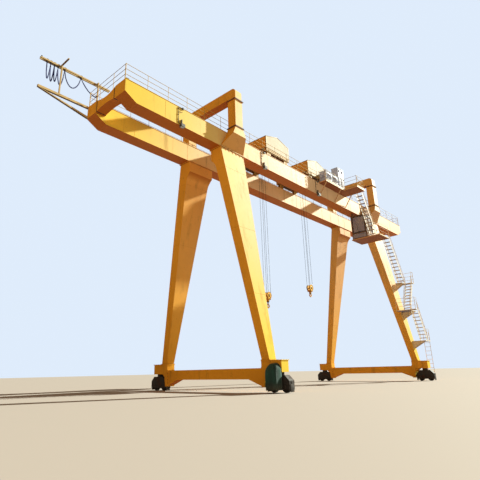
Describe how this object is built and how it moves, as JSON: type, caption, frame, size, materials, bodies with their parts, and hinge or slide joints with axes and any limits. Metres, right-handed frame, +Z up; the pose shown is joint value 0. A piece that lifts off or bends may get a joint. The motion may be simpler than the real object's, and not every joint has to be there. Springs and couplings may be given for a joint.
{
  "type": "half-size double-girder gantry crane",
  "caption": "Yellow double-girder gantry crane with splayed legs, saddle portals, covered trolleys, hooks on rope falls, a hung cab and stairs, for lifting loads along rails.",
  "frame": {"origin": "bottom centre of the whole outline, on the level the travel wheels stand on", "axes": "+X along the main girders from the festoon end to the stair end, +Y towards the far girder, away from the cab and along the travel rails, +Z up"},
  "size_m": [27.05, 7.75, 13.45],
  "materials": {
    "yellow_paint": "weathered gloss",
    "cream_paint": "weathered satin",
    "dark_steel": "greasy matt",
    "rail_steel": "worn bright",
    "white_paint": "satin",
    "brown_paint": "satin",
    "cab_glass": "tinted",
    "blue_cable": "matt",
    "green_canvas": "matt",
    "lamp_grey": "satin",
    "wire_rope": "greased",
    "hook_paint": "scuffed"
  },
  "bodies": {
    "crane": {"girder_near": "yellow_paint", "girder_far": "yellow_paint", "end_tie_left": "yellow_paint", "end_tie_right": "yellow_paint", "trolley_rails": "rail_steel", "leg_left_near": "yellow_paint", "leg_left_far": "yellow_paint", "leg_right_near": "yellow_paint", "leg_right_far": "yellow_paint", "ground_beam_left": "yellow_paint", "ground_beam_right": "yellow_paint", "bogie_left_near": "dark_steel", "bogie_left_far": "dark_steel", "bogie_right_near": "dark_steel", "bogie_right_far": "dark_steel", "saddle_post_left_near": "yellow_paint", "saddle_post_left_far": "yellow_paint", "saddle_post_right_near": "yellow_paint", "saddle_post_right_far": "yellow_paint", "saddle_beam_left": "yellow_paint", "saddle_beam_right": "yellow_paint", "railing_near": "cream_paint", "railing_far": "cream_paint", "railing_left": "cream_paint", "railing_right": "cream_paint", "walkway": "yellow_paint", "cabinets": "white_paint", "cab": "brown_paint", "cab_glass": "cab_glass", "cab_platform": "yellow_paint", "stair_upper": "cream_paint", "stair_middle": "cream_paint", "stair_lower": "cream_paint", "stair_foot": "cream_paint", "festoon_frame": "cream_paint", "festoon_cable": "blue_cable", "drive_hood": "green_canvas", "floodlights": "lamp_grey"},
    "trolley_1": {"trolley_1_frame": "yellow_paint", "trolley_1_cover": "cream_paint", "rope_1": "wire_rope"},
    "hook_1": {"hook_block_1": "hook_paint"},
    "trolley_2": {"trolley_2_frame": "yellow_paint", "trolley_2_cover": "cream_paint", "rope_2": "wire_rope"},
    "hook_2": {"hook_block_2": "hook_paint"}
  },
  "joints": [
    {"name": "trolley_1_travel", "type": "slide", "parent": "crane", "child": "trolley_1", "axis": [1, 0, 0], "range_m": [-8.4, 1.05]},
    {"name": "trolley_2_travel", "type": "slide", "parent": "crane", "child": "trolley_2", "axis": [1, 0, 0], "range_m": [-0.65, 10.05]},
    {"name": "hoist_1", "type": "slide", "parent": "trolley_1", "child": "hook_1", "axis": [0, 0, 1], "range_m": [-2.7, 6.1], "deforming": ["rope_1"]},
    {"name": "hoist_2", "type": "slide", "parent": "trolley_2", "child": "hook_2", "axis": [0, 0, 1], "range_m": [-3.65, 5.25], "deforming": ["rope_2"]}
  ]
}
